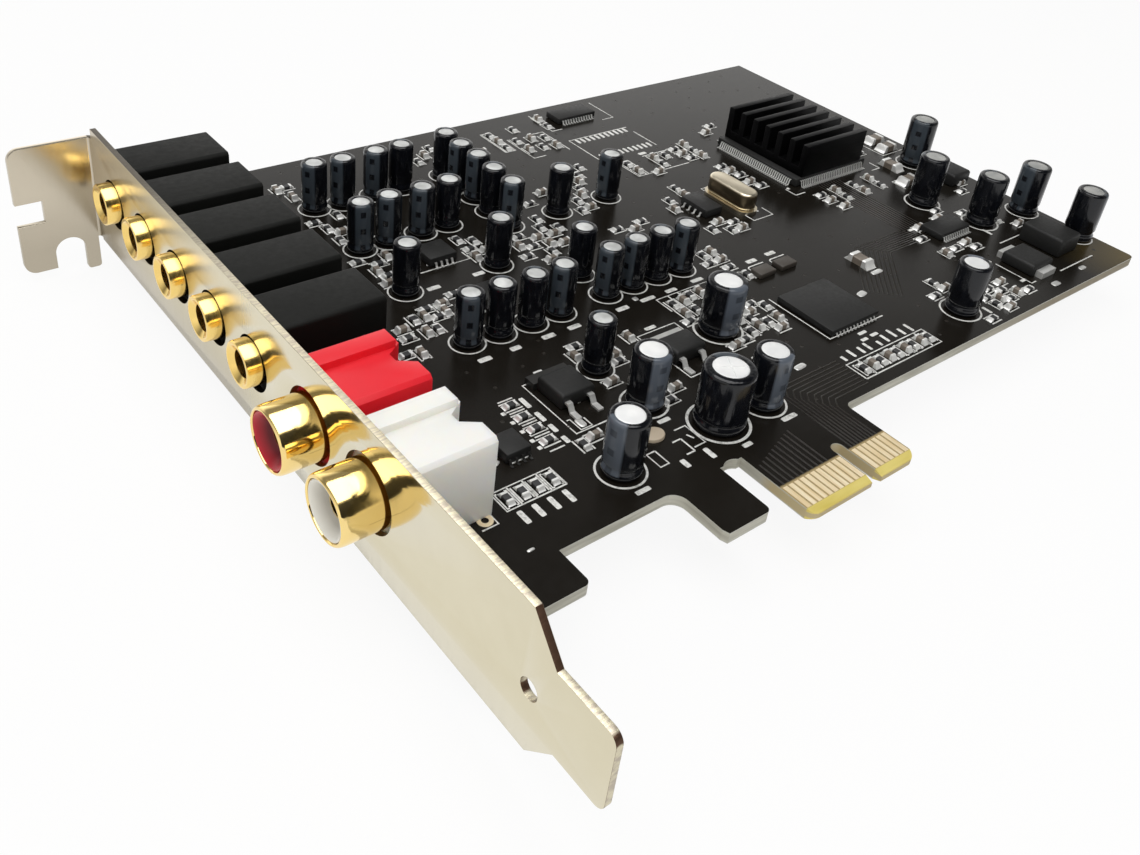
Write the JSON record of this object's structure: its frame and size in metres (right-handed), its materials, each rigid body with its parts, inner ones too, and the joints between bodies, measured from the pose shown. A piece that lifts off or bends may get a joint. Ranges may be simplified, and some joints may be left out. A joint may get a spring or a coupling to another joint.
{
  "type": "pci sound card",
  "caption": "Computer sound card for a one-lane expansion slot: black circuit board, nickel bracket, gold headphone jacks, red and white phono sockets, finned chip cooler.",
  "frame": {"origin": "tip of the edge connector, on the centre line of its key notch, half way through the board", "axes": "+Z out of the board's component side, -Y the way the connector goes into its slot, -X out through the bracket's face"},
  "size_m": [0.156, 0.1219, 0.0233],
  "materials": {
    "board_mask": "glossy near-black solder mask on glass laminate",
    "contact_gold": "thin gold plate, satin",
    "bracket_nickel": "warm polished nickel plate on sheet steel",
    "fixing_steel": "zinc-plated steel",
    "jack_plastic": "fine matt black moulding",
    "gold_plate": "polished gold plate",
    "pin_tin": "tinned",
    "white_plastic": "semi-gloss moulding",
    "red_plastic": "semi-gloss moulding",
    "cooler_black": "black anodised",
    "chip_plastic": "fine matt moulding compound",
    "crystal_metal": "warm satin nickel",
    "ceramic_brown": "bare ceramic",
    "sleeve_black": "shrunk film, glossy blue-black",
    "can_aluminium": "bare, satin"
  },
  "bodies": {
    "root": {"board": "board_mask", "bracket": "bracket_nickel", "bracket_feet": "bracket_nickel", "bracket_screws": "fixing_steel", "capacitor_sleeves_column": "sleeve_black", "capacitor_sleeves_far": "sleeve_black", "capacitor_sleeves_front": "sleeve_black", "capacitor_sleeves_lower": "sleeve_black", "capacitor_sleeves_main": "sleeve_black", "capacitor_sleeves_middle": "sleeve_black", "capacitor_sleeves_slim": "sleeve_black", "capacitor_sleeves_supply": "sleeve_black", "capacitor_sleeves_upper": "sleeve_black", "capacitor_tops_column": "can_aluminium", "capacitor_tops_far": "can_aluminium", "capacitor_tops_front": "can_aluminium", "capacitor_tops_lower": "can_aluminium", "capacitor_tops_main": "can_aluminium", "capacitor_tops_middle": "can_aluminium", "capacitor_tops_slim": "can_aluminium", "capacitor_tops_supply": "can_aluminium", "capacitor_tops_upper": "can_aluminium", "ceramic_blocks": "ceramic_brown", "coil_block": "chip_plastic", "crystal_can": "crystal_metal", "crystal_rim": "crystal_metal", "diode_block": "chip_plastic", "diode_ends": "pin_tin", "edge_contacts": "contact_gold", "filter_block": "chip_plastic", "heatsink": "cooler_black", "jack_body_1": "jack_plastic", "jack_body_2": "jack_plastic", "jack_body_3": "jack_plastic", "jack_body_4": "jack_plastic", "jack_body_5": "jack_plastic", "jack_bushing_1": "gold_plate", "jack_bushing_2": "gold_plate", "jack_bushing_3": "gold_plate", "jack_bushing_4": "gold_plate", "jack_bushing_5": "gold_plate", "jack_pins": "pin_tin", "main_chip": "chip_plastic", "memory_chip": "chip_plastic", "phono_body_red": "red_plastic", "phono_body_white": "white_plastic", "phono_contact_red": "gold_plate", "phono_contact_white": "gold_plate", "phono_insert_red": "red_plastic", "phono_insert_white": "white_plastic", "phono_pins": "pin_tin", "phono_shell_red": "gold_plate", "phono_shell_white": "gold_plate", "regulator_bodies": "chip_plastic", "regulator_leads": "pin_tin", "regulator_tabs": "pin_tin", "small_chips": "chip_plastic"}
  },
  "joints": []
}
